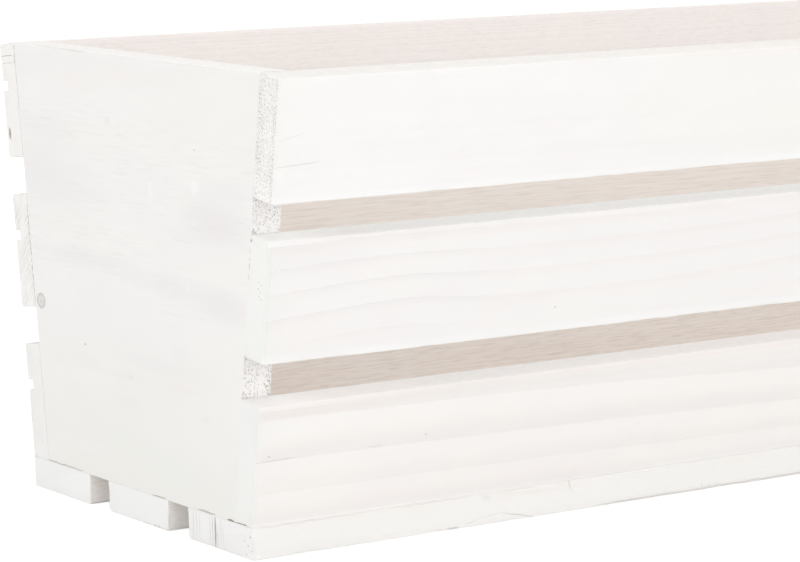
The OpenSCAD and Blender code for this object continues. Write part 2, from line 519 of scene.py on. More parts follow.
kindUsual = {
    "front_slat": {
        "ringShow": 0.0,
    },
    "back_slat": {
        "drift": 2.5,
    },
    "bottom_slat": {
        "ringShow": 0.0,
    },
    "end_board": {
        # The bright endTone is painted light on the sawn edges, which sit in the recesses between the slats
        "outerTone": (1.0, 1.0, 1.005), "edgeTone": (0.98, 0.965, 0.97), "endTone": (1.07, 1.05, 1.07),
        "base": "greyBand", "drift": 5, "ripple": 0.5, "wash": 0.97, "ringShow": 0.0, "endWear": 0.15,
        "ease": 0.08, "wave": 0.05, "arrises": (0.2, 0.9, 0.9, 0.1),
    },
}

# How each board was cut, washed and used, and the light and shade painted on it. Places and sizes are in
# millimetres from the board's middle. Pith is where the log's heart lay (inwards, upwards), and course says how
# far its rings climb along the board. A line, tick or seam is its two ends, width and strength; a seam is
# painted shadow in a joint. A dot, spot or knot is its place, radius and stretch, and a stained patch or a
# patch of painted light or shade has a strength and a colour besides.
boardLooks = {
    "front_slat_high": {
        # The darker edgeTone is painted shade on the narrow faces, which the lamps light more brightly
        "outerTone": (1.006, 1.006, 1.019), "edgeTone": (0.946, 0.925, 0.923), "endTone": (1.045, 1.035, 1.035),
        "pith": (300, 150), "ring": 4.2, "drift": 3, "seed": 1.3, "wash": 0.975, "lateThin": 0.0,
        "lineThin": 0.0, "dash": 0.0, "open": 0.85, "cool": 0.4, "rosy": 0.5, "wrapAndShade": 0.6,
        "arrises": (0.5, 1.0, 0.8, 0.3),
        "lines": [(-400.5, -12.4, -373, -10.8, 0.14, 0.8), (-399, 0.2, -383, 3.4, 0.12, 0.45)],
        # The pale patch at -396 mm is a painted highlight, and the pale band along the lower edge at -30 mm is
        # painted light
        "stainsAndPaintedLight": [(-275, 15, 9, 6.0, 0.25, "pale"), (-396, -16, 4, 1.0, 0.5, "pale"),
                   (-382, -9, 7, 1.6, 0.09, "mauve"), (-335, -8, 6, 3.5, 0.08, "mauve"),
                   (-380, 7, 4, 2.5, 0.05, "mauve"), (-285, -12, 4, 4.0, 0.08, "mauve"),
                   (-215, -13, 4.5, 8.0, 0.09, "mauve"), (-120, -17, 6, 12.0, 0.1, "mauve"),
                   (-352, 3, 2.2, 5.0, 0.08, "rosy"), (-60, 4, 26, 4.0, 0.45, "cream"),
                   (-395, 8, 22, 0.2, 0.25, "cream"), (150, 0, 24, 6.0, 0.3, "cream"),
                   (0, -30, 3.0, 400, 0.8, "pale")],
        "frontStains": [(-60, 0, 50, 2.0, 0.3, "rosy")],
    },
    "front_slat_middle": {
        "outerTone": (0.99, 0.992, 1.005), "edgeTone": (0.968, 0.966, 0.98), "bands": ("mauveBand", "warmBand"),
        "pith": (420, -110), "ring": 3.1, "phase": -0.055, "uneven": 0.0, "drift": 0.3, "ripple": 0.14,
        "ragged": 0.07, "rise": (0.45, 0.97), "seed": 4.1, "wash": 0.965, "lateThin": 0.09, "lineThin": 0.08,
        "lineFade": (-250, -330), "fade": (-27, -15, 900), "rosy": 0.6, "arrises": (0.5, 1.0, 0.8, 0.3),
        "ease": 1.0, "rim": (7.5, 0.05), "open": 0.05, "wrapAndShade": 0.85, "courseTilt": -0.025,
        "course": [(-400, -1.5), (-375, 0), (-350, 1.5), (-325, 2.0), (-300, 1.0), (-275, -0.5), (-250, -1.5),
                   (-200, -1.5), (-150, -1.0), (-100, 0.5), (-75, 1.5), (0, 2.5), (90, -1), (200, -2.5),
                   (300, 1), (400, 0)],
        "stainsAndPaintedLight": [(-380, -18, 7, 3.0, 0.1, "rosy"), (-340, 12, 5, 4.0, 0.06, "rosy"),
                   # The pale band along the lower edge at -30 mm is painted light, and the mauve marks along
                   # the upper arris at 29.5 mm are painted shade that dims its highlight
                   (0, -30, 3.2, 400, 0.9, "pale"), (-390, 29.5, 0.9, 90, 0.28, "mauve"),
                   (-60, 29.5, 0.9, 130, 0.25, "mauve"), (-372, 21, 8, 4.0, 0.12, "mauve")],
        "frontStains": [(-398, 0, 20, 1.4, 0.55, "pale")],
        "dots": [(-229, -17.6, 0.45, 1.0)],
        "endSpots": [(-1.0, 9.0, 0.22, 1.4), (-3.2, 8.0, 0.2, 1.6), (-0.6, 5.6, 0.24, 1.4),
                     (-2.4, 4.4, 0.22, 1.5), (-1.6, 2.2, 0.2, 1.6), (-3.6, 1.4, 0.24, 1.4)],
        "endSeamShadows": [(30, 7.7, 25.5, 7.7, 0.6, 1.0), (24, 7.8, 6, 7.8, 0.2, 0.7)],
    },
    "front_slat_low": {
        "outerTone": (1.008, 1.006, 1.008), "edgeTone": (0.97, 0.949, 0.965), "endTone": (0.985, 0.985, 0.99),
        "bands": ("brownBand", "brownBand"), "pith": (440, 95), "ring": 3.6, "phase": 0.986, "uneven": 0.0,
        "drift": 0.25, "ripple": 0.1, "ragged": 0.06, "rise": (0.24, 0.82), "seed": 7.7, "wash": 0.955,
        "lateThin": 0.1, "lineThin": 0.05, "rim": (7.0, 0.045), "rosy": 0.6, "open": 0.05,
        "arrises": (0.3, 1.0, 0.8, 0.1), "courseTilt": 0.02,
        "course": [(-400, 0), (-300, -0.8), (-250, -1.2), (-200, -2.2), (-150, -3), (-100, -4.5), (0, -6),
                   (120, -4), (250, -6.5), (400, -5)],
        "lines": [(-400.5, 3.4, -377, 4.1, 0.14, 0.9), (-337, 3.8, -327, 4.0, 0.12, 0.7)],
        # The pale band along the lower edge at -29 mm is painted light, and the marks along the upper arris at
        # 29.5 mm are painted shade that dims its highlight
        "stainsAndPaintedLight": [(-240, -19, 6, 30.0, 0.12, "rosy"), (0, -29, 1.6, 400, 0.4, "pale"),
                   (-395, 29.5, 1.4, 60, 0.75, "rosy"), (-395, 29.5, 1.4, 60, 0.2, "mauve"),
                   (-372, 27, 3.0, 20.0, 0.3, "rosy"), (-180, 29.5, 1.2, 160, 0.3, "rosy")],
        "frontStains": [(-390, 0, 60, 1.5, 0.45, "pale"), (-60, 0, 60, 1.6, 0.2, "rosy")],
        "dots": [(-302.4, 6.4, 0.4, 1.0), (-393, 5.9, 0.4, 1.3)],
        # These end lines are painted shadow in the seam at the foot of the slat's end
        "endLines": [(-7.9, -28.9, -4, -29.4, 0.25, 0.7), (-5, -29.2, 8.2, -30.9, 0.5, 1.25)],
    },
    "back_slat_high": {
        "innerTone": (1.015, 1.02, 1.05), "edgeTone": (0.955, 0.94, 0.945), "endTone": (1.035, 1.015, 1.01),
        "pith": (40, 230), "ring": 2.4, "ripple": 0.35, "seed": 11.2, "wash": 0.94, "innerWash": 0.85,
        "innerLate": 0.3, "gritty": 0.05, "open": 0.2, "ringShow": 0.1, "dash": 0.03,
        "endLines": [(-8, 23.6, 6, 23.2, 0.13, 0.9), (-8, 19.8, 8, 19.3, 0.12, 0.5)],
        "endSpots": [(-4.8, -17.2, 1.1, 2.7)],
        "endSeamShadows": [(28.5, 7.8, 17, 7.8, 0.3, 0.9), (17, 7.8, 4, 7.9, 0.12, 0.6)],
    },
    "back_slat_middle": {
        "innerTone": (1.053, 1.053, 1.053), "edgeTone": (0.955, 0.94, 0.955), "endTone": (1.035, 1.025, 1.025),
        "pith": (170, -190), "ring": 1.6, "ripple": 0.3, "seed": 14.9, "wash": 0.94, "innerWash": 0.83,
        "innerLate": 0.7, "gritty": 0.09, "gritRun": 60, "open": 0.05, "ringShow": 3.0, "dash": 0.06,
        "endSeamShadows": [(29, 7.8, -29, 7.8, 0.3, 0.9)],
    },
    "back_slat_low": {
        "innerTone": (1.03, 1.03, 1.03), "edgeTone": (0.955, 0.94, 0.955), "endTone": (0.996, 0.985, 0.99),
        "pith": (60, 260), "ring": 1.9, "ripple": 0.3, "seed": 18.4, "wash": 0.93, "gritty": 0.12,
        "gritRun": 90, "open": 0.05, "ringShow": 0.5, "dash": 0.07, "arrises": (0.3, 1.0, 1.0, 0.1),
    },
    "bottom_slat_front": {
        "edgeTone": (1.0, 0.986, 0.991), "endTone": (1.02, 1.015, 1.03), "pith": (8, 96), "ring": 3.4,
        "ripple": 0.9, "seed": 22.6, "wash": 0.945, "lateThin": 0.014, "gritty": 0.02,
        "arrises": (1.0, 0.1, 0.4, 1.8), "spacing": 1.2, "wane": 0.8, "waneHeight": 1.1, "waneStart": -205,
        "endWear": 1.1,
        # The long lines at about -7 mm are painted shade under the wane
        "frontLines": [(-276, -6.6, -267, -4.4, 0.14, 0.6), (-268, -4.4, -253, -3.2, 0.14, 0.5),
                       (-254, -3.2, -231, -8.3, 0.2, 1.0), (-287, -7.2, -279, -7.0, 0.35, 1.0),
                       (-195, -7.0, -130, -7.0, 0.2, 0.9), (-140, -6.9, -20, -6.7, 0.2, 0.9),
                       (-262, 7.2, -222, 4.4, 0.5, 0.1), (-398, 7.4, -330, 7.4, 0.16, 0.5),
                       (-322, 7.4, -270, 7.4, 0.16, 0.5), (-258, 7.4, -232, 7.4, 0.2, 0.45),
                       (-182, 6.6, -128, 7.0, 0.14, 0.35)],
        "frontTicks": [(9.0, -211.8, 3.4, -210.2, 0.28, 0.9), (3.6, -210.3, 0.4, -207.2, 0.14, 0.5),
                       (-4.4, -124.6, -6.4, -123.8, 0.25, 0.8), (-5.0, -119.0, -7.0, -118.0, 0.25, 0.6)],
        "frontStains": [(-206.6, 2.6, 0.7, 1.6, 0.5, "pale"), (-160, 7.5, 0.5, 40.0, 0.7, "pale"),
                        (-263, 6.0, 1.7, 1.6, 0.1, "resin"), (-330, 7.2, 1.6, 40.0, 0.16, "rosy"),
                        (-240, 4.8, 1.4, 12.0, 0.3, "rosy"), (-300, 5.0, 2.4, 4.0, 0.12, "rosy"),
                        (-212, 6.6, 2.2, 4.0, 0.3, "rosy"), (-95, 5.5, 2.2, 10.0, 0.12, "rosy"),
                        (-370, -5.0, 2.4, 14.0, 0.12, "mauve")],
        "endLines": [(-8, -25.6, 8, -24.8, 0.2, 0.45), (-8, -22.6, 8, -21.6, 0.18, 0.45),
                     (-7, -19.6, 8, -19.0, 0.15, 0.35), (-8, -9.8, 8, -9.2, 0.18, 0.5),
                     (-8, -7.5, 8, -6.8, 0.25, 0.6), (-8.5, -4.9, 8.5, -4.2, 0.65, 1.0),
                     (-8, -2.6, 5, -2.0, 0.2, 0.55), (-4, 0.3, 8, 1.0, 0.18, 0.45),
                     (-8, 3.0, 6, 2.5, 0.14, 0.35)],
        "endSpots": [(3.2, 27.5, 0.45, 1.0), (-1.5, 25.0, 0.4, 1.0), (-3.4, 28.4, 0.35, 1.0),
                     (-5.8, 23.2, 0.3, 1.0), (0.6, 22.0, 0.3, 1.0)],
        "endTint": 0.5,
    },
    "bottom_slat_middle": {
        # The bright edgeTone is painted light on the sides that face the gaps between the bottom slats
        "edgeTone": (1.06, 1.02, 1.02), "endTone": (1.025, 1.02, 1.035), "pith": (70, 12), "ring": 3.1,
        "seed": 26.1, "gritty": 0.12, "wash": 0.93, "open": 0.04, "endWear": 1.1,
        "arrises": (1.0, 0.8, 0.8, 2.4),
        "endSeamShadows": [(-6, -7.5, 2, -7.6, 0.3, 0.35), (4, -7.4, 12, -7.6, 0.4, 0.45),
                     (13, -7.2, 22, -7.5, 0.5, 0.6), (23, -7.4, 29, -7.4, 0.3, 0.4)],
    },
    "bottom_slat_back": {
        # The bright edgeTone is painted light on the sides that face the gaps between the bottom slats
        "edgeTone": (1.06, 1.02, 1.02), "endTone": (1.013, 1.01, 1.022), "pith": (50, -40), "ring": 2.7,
        "seed": 30.8, "gritty": 0.12, "wash": 0.93, "open": 0.03, "arrises": (0.1, 1.0, 1.5, 1.0),
    },
    "end_board_left": {
        "pith": (420, -260), "ring": 2.9, "seed": 35.5, "lateThin": 0.003, "lineThin": 0.0, "dash": 0.12,
        "fade": (-45, 25, 60), "open": 0.85,
        "knots": [(-97.5, -24.6, 4.1, 1.1)],
        "dots": [(60.7, 67.7, 0.42, 1.2), (-51, -41.5, 0.5, 2.0)],
        # The lines along the foot at about -108.5 mm are painted shadow in the seam over the bottom slats
        "lines": [(-101, -108.5, -54, -108.5, 0.3, 1.3), (14, -108.7, 29, -108.7, 0.3, 1.4),
                  (58, -108.4, 76, -108.4, 0.4, 1.4), (86, -108.7, 93, -108.7, 0.5, 2.2),
                  (-98, 108.8, -68, 108.5, 0.22, 0.3), (-72, 108.5, -42, 108.2, 0.3, 0.5),
                  (-45, 108.2, 100, 107.8, 0.16, 0.2), (36, 22.6, 58, 22.0, 0.18, 0.3),
                  (-66, 40.6, -50, 40.4, 0.2, 0.25)],
        # The olive patch at the foot is painted shade, darker towards the bottom of the board
        "stainsAndPaintedLight": [(0, -108, 62, 5.0, 0.42, "oliveShade"), (-40, 100, 7, 9.0, 0.2, "rosy"),
                   (-60, 92, 5, 3.0, 0.12, "rosy"), (80, 84, 24, 2.0, 0.32, "lemon"),
                   (-84, 42, 11, 3.0, 0.55, "mauve"), (-90, 64, 9, 3.0, 0.22, "mauve"),
                   (-40, 36, 4, 8.0, 0.14, "mauve"), (80, 34, 11, 2.2, 0.46, "mauve"),
                   (90, 50, 5, 4.0, 0.25, "mauve"), (58, 24, 3, 8.0, 0.16, "mauve"),
                   (-50, 3, 4.5, 8.0, 0.28, "mauve"), (45, -1, 5, 9.0, 0.24, "mauve"),
                   (85, -6, 7, 3.0, 0.34, "mauve"), (22, -43, 4, 10.0, 0.12, "mauve"),
                   (44, -34, 4, 2.0, 0.14, "mauve"), (-10, -52, 2, 8.0, 0.1, "mauve"),
                   (-64, -51, 4, 6.0, 0.18, "rosy"), (44, -51, 2.2, 8.0, 0.18, "rosy"),
                   (-6, -65, 2, 4.0, 0.14, "rosy"), (-6, -33, 2, 5.0, 0.12, "rosy"),
                   (-75, 19, 6, 3.0, 0.25, "lemon"), (-45, 18, 5, 1.6, 0.3, "lemon"),
                   (-20, 10, 2.4, 5.0, 0.3, "lemon"), (-35, 66, 7, 4.0, 0.22, "lemon"),
                   (26, 62, 6, 3.0, 0.2, "lemon"), (52, 43, 4, 1.4, 0.4, "lemon"),
                   (84, 12, 6, 2.4, 0.3, "lemon"), (60, 9, 2, 4.0, 0.25, "lemon"),
                   (60, 49, 3.4, 0.9, 0.95, "pale"), (18, 43, 4, 0.5, 0.7, "pale"),
                   (27, 36, 2, 1.6, 0.3, "pale"), (-23.6, 75.6, 1.6, 1.6, 0.35, "mauve"),
                   (53, -0.6, 1.3, 1.2, 0.5, "pale"), (43, -5, 0.8, 1.0, 0.5, "pale"),
                   (67.8, -62.8, 1.6, 1.6, 0.22, "mauve"), (-4.8, -52.4, 1.0, 2.0, 0.35, "mauve")],
    },
    "end_board_right": {
        "pith": (380, 300), "ring": 3.0, "seed": 41.3, "lateThin": 0.01, "lineThin": 0.008, "dash": 0.06,
        "fade": (-80, 10, 80), "open": 0.9,
        "knots": [(70, 30, 3.4, 1.1)],
        # The olive patch at the foot is painted shade, darker towards the bottom of the board
        "stainsAndPaintedLight": [(0, -100, 50, 5.0, 0.3, "oliveShade"), (-40, -30, 12, 3.0, 0.2, "mauve"),
                   (60, 60, 10, 2.6, 0.18, "mauve"), (-70, 70, 6, 3.0, 0.2, "lemon"),
                   (20, 10, 7, 4.0, 0.2, "lemon"), (-20, 95, 6, 6.0, 0.15, "rosy")],
    },
}

# Colours of the bare pine, of the white wash and of its stains, and of painted light and shade, as linear
# shares
woodColours = {
    "early": (0.88, 0.64, 0.49),
    "late": (0.56, 0.36, 0.27),
    "mauveBand": (0.60, 0.54, 0.54),
    "brownBand": (0.60, 0.50, 0.46),
    "greyBand": (0.56, 0.53, 0.56),
    "warmBand": (0.86, 0.64, 0.54),
    "knot": (0.33, 0.30, 0.28),
    "shadow": (0.30, 0.24, 0.19),
    "pore": (0.42, 0.38, 0.30),
    "resin": (0.22, 0.14, 0.06),
    "washWarm": (0.945, 0.932, 0.906),
    "washCool": (0.925, 0.918, 0.905),
    "washRosy": (0.925, 0.905, 0.890),
    "washEdge": (0.925, 0.925, 0.895),
    "washEnd": (0.925, 0.930, 0.900),
    "wrapAndShade": (0.862, 0.863, 0.830),  # wash of the end drawn round the corner, and painted shade on the eased corner
    # rosy and mauve are also painted shade over bright upper arrises
    "rosy": (0.90, 0.80, 0.76),
    "mauve": (0.80, 0.765, 0.775),
    # oliveShade is painted shade towards the foot of the end boards
    "oliveShade": (0.86, 0.865, 0.80),
    "lemon": (0.905, 0.905, 0.82),
    "cream": (0.935, 0.920, 0.850),
    # pale is also painted light along lower edges and a painted highlight
    "pale": (0.975, 0.97, 0.955),
}
pineGroup = buildPineGroup()


def toned(colour, tone):
    return tuple(part * share for part, share in zip(woodColours[colour], tone))


def startFinish(name, board):
    # A plain material, and places on the board in its own frame
    material = bpy.data.materials.new(name)
    material.use_nodes = True
    tree = material.node_tree
    tree.nodes.clear()
    shader = addNode(tree, "ShaderNodeBsdfPrincipled", inputs={"IOR": 1.42})
    addNode(tree, "ShaderNodeOutputMaterial", inputs={"Surface": shader.outputs[0]})
    local = addNode(tree, "ShaderNodeMapping", {"vector_type": "TEXTURE"}, {
        "Vector": addNode(tree, "ShaderNodeTexCoord").outputs["Object"],
        "Location": board["centre"], "Rotation": tuple(board["turn"])}).outputs[0]
    return material, tree, shader, local


# The run of a course along the board, and the farthest that it may climb or fall
courseReach = {"span": 800 * mm, "most": 10 * mm}
bumpStrength = 0.8


def followCourse(tree, look, local):
    # The rings climb and fall along the board as its course says
    spot = splitVector(tree, local)
    span, reach = courseReach["span"], 2 * courseReach["most"]
    points = [(0.5 + place * mm / span, 0.5 + climb * mm / reach) for place, climb in look["course"]]
    climb = shapeCurve(tree, plus(tree, over(tree, spot["X"], span), 0.5), points, "AUTO")
    weight = plus(tree, 1.0, times(tree, spot["Z"], look["courseTilt"] / mm))
    climb = times(tree, minus(tree, climb, 0.5), reach, weight)
    return vectorCalc(tree, "SUBTRACT", local, joinVector(tree, 0.0, 0.0, climb))


def figure(tree, look, local, bulge=0.0):
    if look["course"]:
        local = followCourse(tree, look, local)
    inwards, upwards = look["pith"]
    riseFrom, riseTo = look["rise"]
    return addNode(tree, "ShaderNodeGroup", {"node_tree": pineGroup}, {
        "Local": local, "Pith": (0.0, inwards * mm, upwards * mm), "Ring Width": look["ring"] * mm,
        "Phase": look["phase"], "Uneven": look["uneven"], "Drift": look["drift"] * mm,
        "Ripple": look["ripple"] * mm, "Ragged": look["ragged"] * mm, "Rise From": riseFrom, "Rise To": riseTo,
        "Bulge": bulge, "Seed": look["seed"]}).outputs


def addBump(tree, shader, relief):
    # Relief is in millimetres
    bump = addNode(tree, "ShaderNodeBump", inputs={
        "Height": relief, "Distance": 1 * mm, "Strength": bumpStrength})
    feed(tree, shader.inputs["Normal"], bump.outputs[0])


# A pin knot: a grey heart of fine rings in a dark rim. The rings of the board bulge round it.
knotLook = {
    "swirl": (2.6, 1.6),  # how much wider and longer than the knot
    "swirlSoft": 0.9,
    "bulge": 1.4,
    "rimSoft": 0.12,
    "heart": 0.82,
    "heartSoft": 0.2,
    "rings": ((500, 500, 500), 2.0),
    "ringShades": (0.4, 0.6, 0.20, 0.34),
    "rimShade": 0.3,
}


def knotBulge(tree, look, x, z):
    bulge = 0.0
    wider, longer = knotLook["swirl"]
    for x0, z0, radius, stretch in look["knots"]:
        swirl = spotMask(tree, x, z, (x0, z0, radius * wider, stretch * longer), knotLook["swirlSoft"])
        bulge = plus(tree, bulge, times(tree, swirl, knotLook["bulge"]))
    return bulge


def drawKnots(tree, look, x, z, outer, seeded, colour):
    knots = 0.0
    for x0, z0, radius, stretch in look["knots"]:
        body = times(tree, spotMask(tree, x, z, (x0, z0, radius, stretch), knotLook["rimSoft"]), outer)
        heart = spotMask(tree, x, z, (x0, z0, radius * knotLook["heart"], stretch), knotLook["heartSoft"])
        rings = smoothStep(tree, noise(tree, seeded, *knotLook["rings"]), *knotLook["ringShades"])
        shade = plus(tree, rings, times(tree, minus(tree, 1.0, heart), knotLook["rimShade"]))
        colour = tint(tree, times(tree, body, shade), colour, woodColours["knot"])
        knots = largest(tree, knots, body)
    return colour, knots


# The white wash on the planed faces
washLook = {
    # A zone is how far from a board's side it starts and is full
    "zones": {
        "edge": (0.6 * mm, 0.2 * mm),
        "front": (3 * mm, 2.5 * mm),
        "inner": (2.2 * mm, 0.4 * mm),
    },
    "outerDepth": 2 * mm,
    # A pattern is its stretch, detail and roughness
    "patterns": {
        "cloud": ((9, 34, 34), 3.0, 0.55),
        "hue": ((14, 28, 28), 2.0),
        "blush": ((24, 60, 60), 2.0),
        "brush": ((16, 520, 520), 2.0),
        "broken": ((130, 300, 300), 3.0, 0.6),
        "dashes": ((42, 760, 760), 2.0, 0.6),
        "corner": ((0, 150, 150), 2.0),
        "wander": ((130, 0, 0), 2.0),
    },
    # A step turns a pattern into a share: the levels that it rises between, and then its shares there
    "steps": {
        "broken": (0.42, 0.60, 0.2, 1.3),
        "darkDash": (0.54, 0.70),
        "lightDash": (0.34, 0.46, 0.5, 0.0),
        "dashCloud": (0.36, 0.58, 0.15, 1.0),
        "rimHue": (0.3, 0.6, 0.6, 1.2),
        "warmBand": (-320 * mm, -220 * mm),
        "blush": (0.42, 0.62),
        "cool": (0.35, 0.65),
        "torn": (0.50, 0.66),
        "bright": (0.50, 0.34),
        "patchCloud": (0.30, 0.62),
    },
    "swings": {"Streak": 0.30, "brush": 0.16, "Fibre": 0.9, "cloud": 0.32, "warm": 1.6},
    "uneven": 1.2,
    "topFade": (1.0, 0.3),
    "topFadeRun": 30 * mm,
    "lineFade": (1.0, 0.35),
    "rimReach": (1.2, 0.7),  # of the rim's own height
    "edgeCover": 0.985,
    "gritAcross": 1300,
    "brightGrit": 0.9,
    "patchSoft": 0.8,
    "patchLeast": 0.4,
    "wander": 0.9 * mm,
    "lineShade": 0.40,
    "roughness": (0.72, 0.12),  # of bare wood, and what a full wash adds
    "relief": {"late": 0.04, "Fibre": 0.03, "Streak": 0.05, "cracksAndPaintedShade": 0.10, "dashes": 0.03},
}
# How far from a sawn end its wash reaches round the corner
cornerLook = {
    "soaked": (1 * mm, 3 * mm),
    "round": (-1 * mm, 1.5 * mm),
    "run": 18 * mm,
    "runShare": 0.2,
    "ragged": 4 * mm,
}


def washPattern(tree, seeded, name):
    return noise(tree, seeded, *washLook["patterns"][name])


def washStep(tree, value, name):
    return smoothStep(tree, value, *washLook["steps"][name])


def nearSide(tree, place, side, zone):
    # Grows from nought to one towards a side
    return smoothStep(tree, place, side - zone[0], side - zone[1])


def washCover(tree, look, grain, zones, seeded, patterns):
    # Share of the surface that the wash hides. It is thinner over latewood and in brush marks, and the surface
    # is darker along the upper rim.
    x, z, inner, halfWidth = (zones[name] for name in ("x", "z", "inner", "halfWidth"))
    swings = washLook["swings"]
    cover = plus(tree, look["wash"], times(tree, inner, look["innerWash"] - look["wash"]))
    bare = minus(tree, 1.0, cover)
    near, far = look["lineFade"]
    lineShare = smoothStep(tree, x, far * mm, near * mm, *washLook["lineFade"])
    broken = washStep(tree, washPattern(tree, seeded, "broken"), "broken")
    lines = times(tree, grain["Line"], look["lineThin"], lineShare, broken, zones["figured"])
    dashed = washPattern(tree, seeded, "dashes")
    dashes = minus(tree, washStep(tree, dashed, "darkDash"), washStep(tree, dashed, "lightDash"))
    dashes = times(tree, dashes, washStep(tree, patterns["cloud"], "dashCloud"), zones["shown"])
    rimTall, rimThin = look["rim"]
    rim = nearSide(tree, z, halfWidth, [rimTall * mm * share for share in washLook["rimReach"]])
    rim = times(tree, rim, rimThin, washStep(tree, patterns["hue"], "rimHue"))
    thin = plus(tree, times(tree, zones["late"], look["lateThin"]), plus(tree, lines, rim))
    thin = plus(tree, thin, times(tree, dashes, look["dash"]))
    streaky = plus(tree, centred(tree, grain["Streak"], swings["Streak"]),
                   centred(tree, patterns["brush"], swings["brush"]))
    streaky = plus(tree, streaky, times(tree, centred(tree, grain["Fibre"], swings["Fibre"]), inner))
    streaky = times(tree, streaky, plus(tree, 1.0, times(tree, inner, look["innerLate"] - 1.0)))
    streaky = plus(tree, centred(tree, patterns["cloud"], swings["cloud"]), streaky)
    uneven = times(tree, bare, washLook["uneven"], streaky)
    return clamped(plus(tree, minus(tree, cover, thin), uneven)), dashes


def washColour(tree, look, zones, seeded, patterns, cover):
    # The wood, and the wash in its own tone on each face
    inner, edge, late = (zones[name] for name in ("inner", "edge", "late"))
    warmer = plus(tree, washStep(tree, zones["x"], "warmBand"),
                  centred(tree, patterns["cloud"], washLook["swings"]["warm"]))
    cooler, warmest = (woodColours[band] for band in look["bands"])
    wood = tint(tree, late, woodColours[look["base"]], tint(tree, clamped(warmer), cooler, warmest))
    innerLate = times(tree, late, times(tree, inner, look["innerLate"]))
    wood = tint(tree, inner, wood, tint(tree, innerLate, woodColours["early"], woodColours["late"]))
    blush = washStep(tree, washPattern(tree, seeded, "blush"), "blush")
    cool = times(tree, washStep(tree, patterns["hue"], "cool"), look["cool"])
    outside, inside = (tint(tree, cool, toned("washWarm", look[tone]), toned("washCool", look[tone]))
                       for tone in ("outerTone", "innerTone"))
    outside = tint(tree, times(tree, blush, look["rosy"]), outside, toned("washRosy", look["outerTone"]))
    wash = tint(tree, edge, tint(tree, inner, outside, inside), toned("washEdge", look["edgeTone"]))
    colour = tint(tree, largest(tree, cover, times(tree, edge, washLook["edgeCover"])), wood, wash)

    # Short torn fibres roughen what was never planed
    across = washLook["gritAcross"]
    grit = noise(tree, seeded, (look["gritRun"], across, across))
    sawn = times(tree, largest(tree, inner, edge), look["gritty"])
    torn = times(tree, washStep(tree, grit, "torn"), sawn)
    bright = times(tree, washStep(tree, grit, "bright"), sawn, washLook["brightGrit"])
    return tint(tree, bright, tint(tree, torn, colour, woodColours["shadow"]), woodColours["pale"])


def drawCorner(tree, look, zones, seeded, colour):
    # The wash of the sawn end is drawn round the corner, darkened as painted shade where the eased corner
    # catches more light, and has run into the seam behind the slat
    endGap = minus(tree, zones["halfLength"], calc(tree, "ABSOLUTE", zones["x"]))
    soaked = times(tree, smoothStep(tree, endGap, *cornerLook["soaked"], 1.0, 0.0), zones["inner"])
    colour = tint(tree, soaked, colour, toned("washEnd", look["endTone"]))
    ragged = times(tree, washPattern(tree, seeded, "corner"), cornerLook["ragged"])
    endGap = minus(tree, endGap, ragged)
    drawn = largest(tree, smoothStep(tree, endGap, *cornerLook["round"], 1.0, 0.0),
                    smoothStep(tree, endGap, 0.0, cornerLook["run"], cornerLook["runShare"], 0.0))
    drawn = times(tree, drawn, look["wrapAndShade"], zones["outer"])
    return tint(tree, drawn, colour, toned("wrapAndShade", look["outerTone"]))


def drawStainsAndPaintedLight(tree, look, zones, cloud, colour):
    # Stains of the wash, and patches of painted light and shade: a pale band along lower edges, dimmed upper
    # arrises, a highlight and a darker foot
    for marks, across, where in ((look["stainsAndPaintedLight"], zones["z"], zones["outer"]),
                                 (look["frontStains"], zones["y"], zones["front"])):
        for x0, z0, radius, stretch, strength, tone in marks:
            patch = spotMask(tree, zones["x"], across, (x0, z0, radius, stretch), washLook["patchSoft"])
            least = washLook["patchLeast"] * strength
            ragged = smoothStep(tree, cloud, *washLook["steps"]["patchCloud"], least, strength)
            colour = tint(tree, times(tree, patch, where, ragged), colour, woodColours[tone])
    return colour


def faceCracksAndPaintedShade(tree, look, zones, seeded):
    # Splits, dots and painted shadow lines of the outer face, and of the front edge where that shows
    x, y, z = (zones[name] for name in "xyz")
    wobble = times(tree, centred(tree, washPattern(tree, seeded, "wander"), 1.0), washLook["wander"])
    marks = [(thinLineMask(tree, x, z, wobble, line), "outer") for line in look["lines"]]
    marks += [(spotMask(tree, x, z, dot), "outer") for dot in look["dots"]]
    marks += [(thinLineMask(tree, x, y, wobble, line), "front") for line in look["frontLines"]]
    marks += [(thinLineMask(tree, y, x, 0.0, line), "front") for line in look["frontTicks"]]
    return largest(tree, 0.0, *(times(tree, mark, zones[where]) for mark, where in marks))


